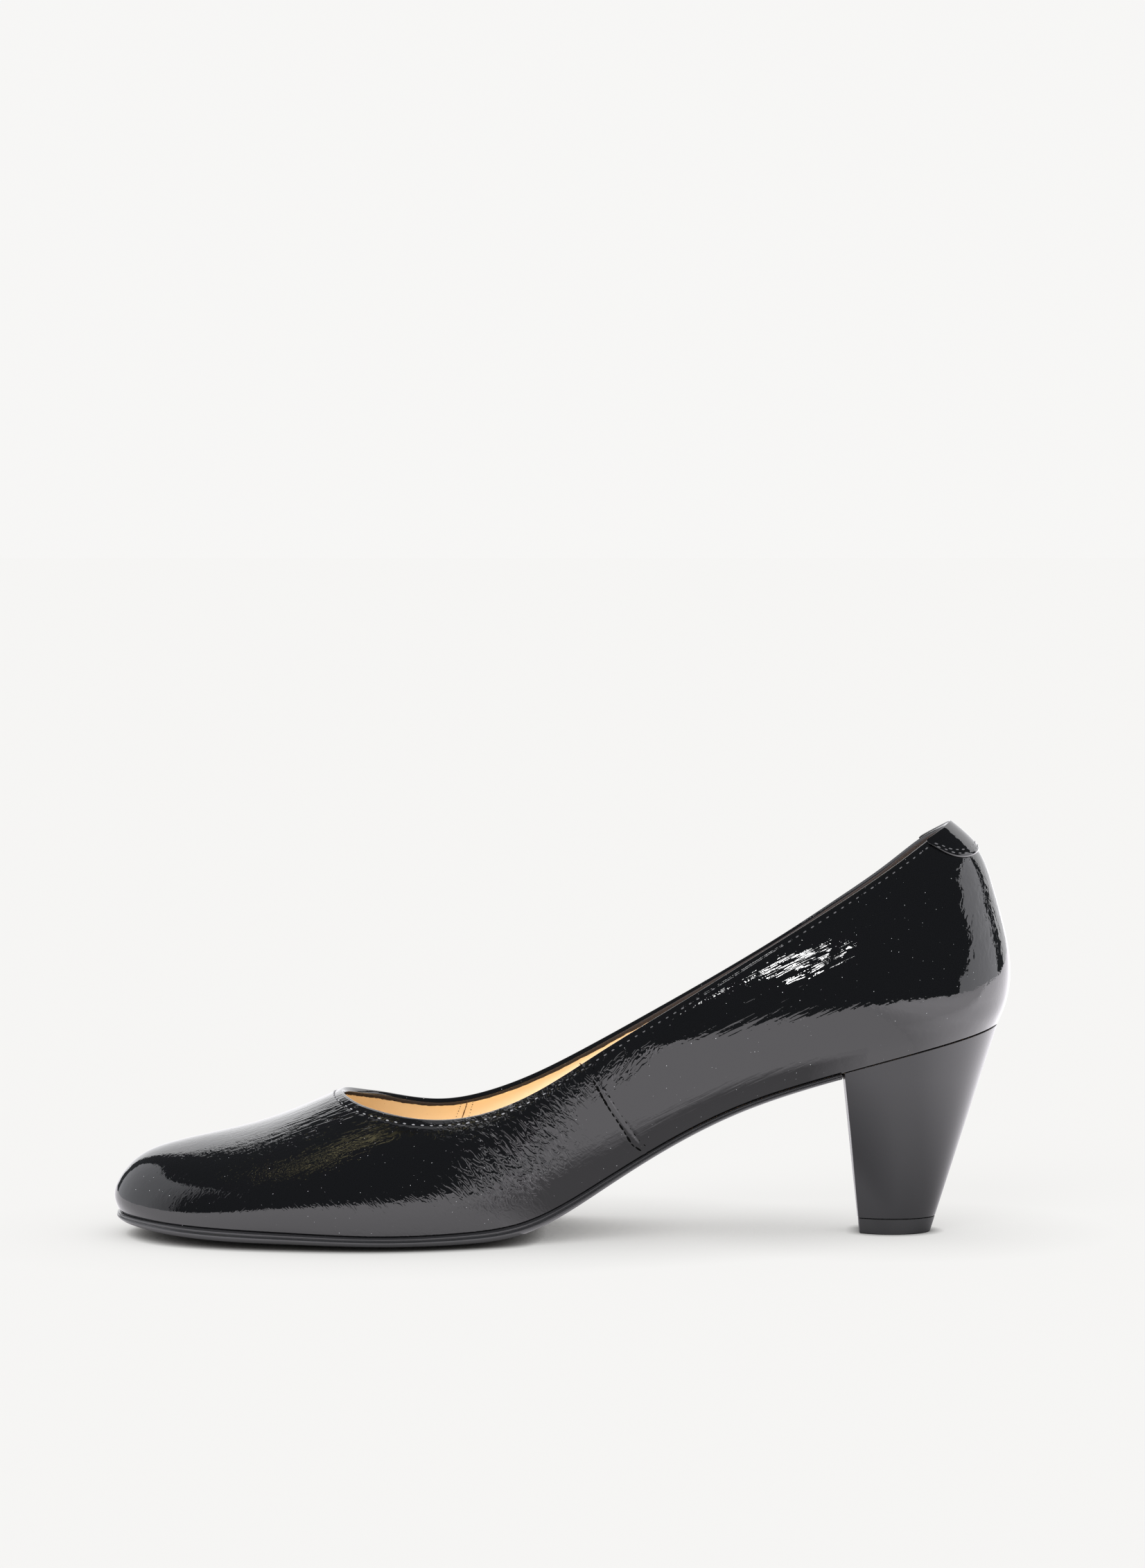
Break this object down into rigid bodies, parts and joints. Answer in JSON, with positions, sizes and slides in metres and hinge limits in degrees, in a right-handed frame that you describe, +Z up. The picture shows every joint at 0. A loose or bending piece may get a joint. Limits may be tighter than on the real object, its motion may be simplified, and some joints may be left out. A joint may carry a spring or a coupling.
{
  "type": "pump shoe",
  "caption": "Closed round-toe pump for the right foot, low-cut around the instep, on a tapered block heel.",
  "frame": {"origin": "on the floor below the middle of the shoe's box", "axes": "toe towards -X, heel towards +X, inner side of the foot towards -Y, +Z up from the floor"},
  "size_m": [0.2474, 0.0814, 0.1145],
  "materials": {
    "patent_leather": "black patent leather, mirror gloss",
    "insole_leather": "natural tan leather, satin",
    "outsole_black": "thin sole with a polished black edge, pale tan underneath",
    "heel_black": "black lacquered plastic, semi gloss",
    "rubber_black": "hard black rubber, matte"
  },
  "bodies": {
    "root": {"upper": "patent_leather", "heel_tab": "patent_leather", "insole": "insole_leather", "outsole": "outsole_black", "heel": "heel_black", "top_piece": "rubber_black"}
  },
  "joints": []
}
